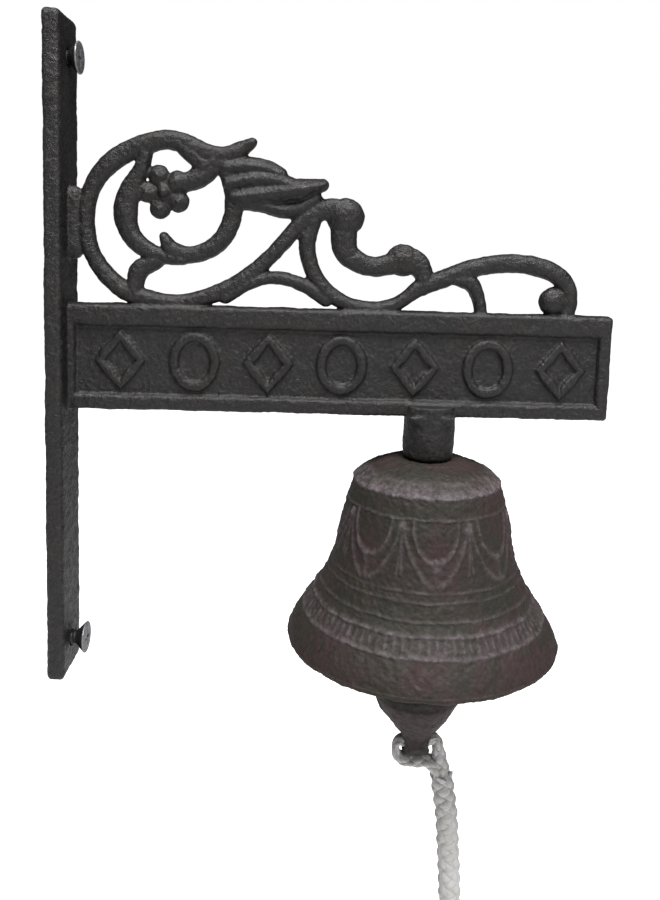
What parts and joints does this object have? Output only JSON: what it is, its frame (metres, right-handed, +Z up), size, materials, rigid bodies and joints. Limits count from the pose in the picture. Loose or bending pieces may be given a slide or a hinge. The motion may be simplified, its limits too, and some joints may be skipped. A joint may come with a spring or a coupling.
{
  "type": "wall mounted bell",
  "caption": "Wall mounted cast iron bell under a scrollwork bracket arm, rung by a hanging clapper with a cotton pull rope.",
  "frame": {"origin": "on the wall plate's back face, on its upright centre line, level with the arm's top edge", "axes": "+X out from the wall along the arm, +Y to the far side of the arm, +Z up"},
  "size_m": [0.1905, 0.095, 0.3985],
  "materials": {
    "black_painted_iron": "matt black paint over a rough casting",
    "brown_cast_iron": "dark brown, pitted, ridges worn lighter",
    "zinc_plated_steel": "dull zinc plate",
    "dark_steel": "worn dark plate",
    "white_cotton": "soft braided cord"
  },
  "bodies": {
    "body": {"bracket_casting": "black_painted_iron", "bell": "brown_cast_iron", "hanger_eye_bolt": "zinc_plated_steel", "hanger_washer": "zinc_plated_steel", "wall_screw_upper": "dark_steel", "wall_screw_lower": "dark_steel"},
    "link": {"clapper_link": "zinc_plated_steel"},
    "clapper": {"clapper": "brown_cast_iron"},
    "rope": {"rope_eye": "white_cotton", "pull_rope": "white_cotton", "rope_end_knot": "white_cotton"}
  },
  "joints": [
    {"name": "link_swing", "type": "hinge", "parent": "body", "child": "link", "pos_m": [0.1295, 0, -0.06415], "axis": [0, 1, 0], "range_deg": [-27, 27]},
    {"name": "clapper_sway", "type": "hinge", "parent": "link", "child": "clapper", "pos_m": [0.1295, 0, -0.0739], "axis": [1, 0, 0], "range_deg": [-10, 10]},
    {"name": "rope_swing", "type": "hinge", "parent": "clapper", "child": "rope", "pos_m": [0.1295, 0, -0.1557], "axis": [1, 0, 0], "range_deg": [-45, 45]}
  ]
}
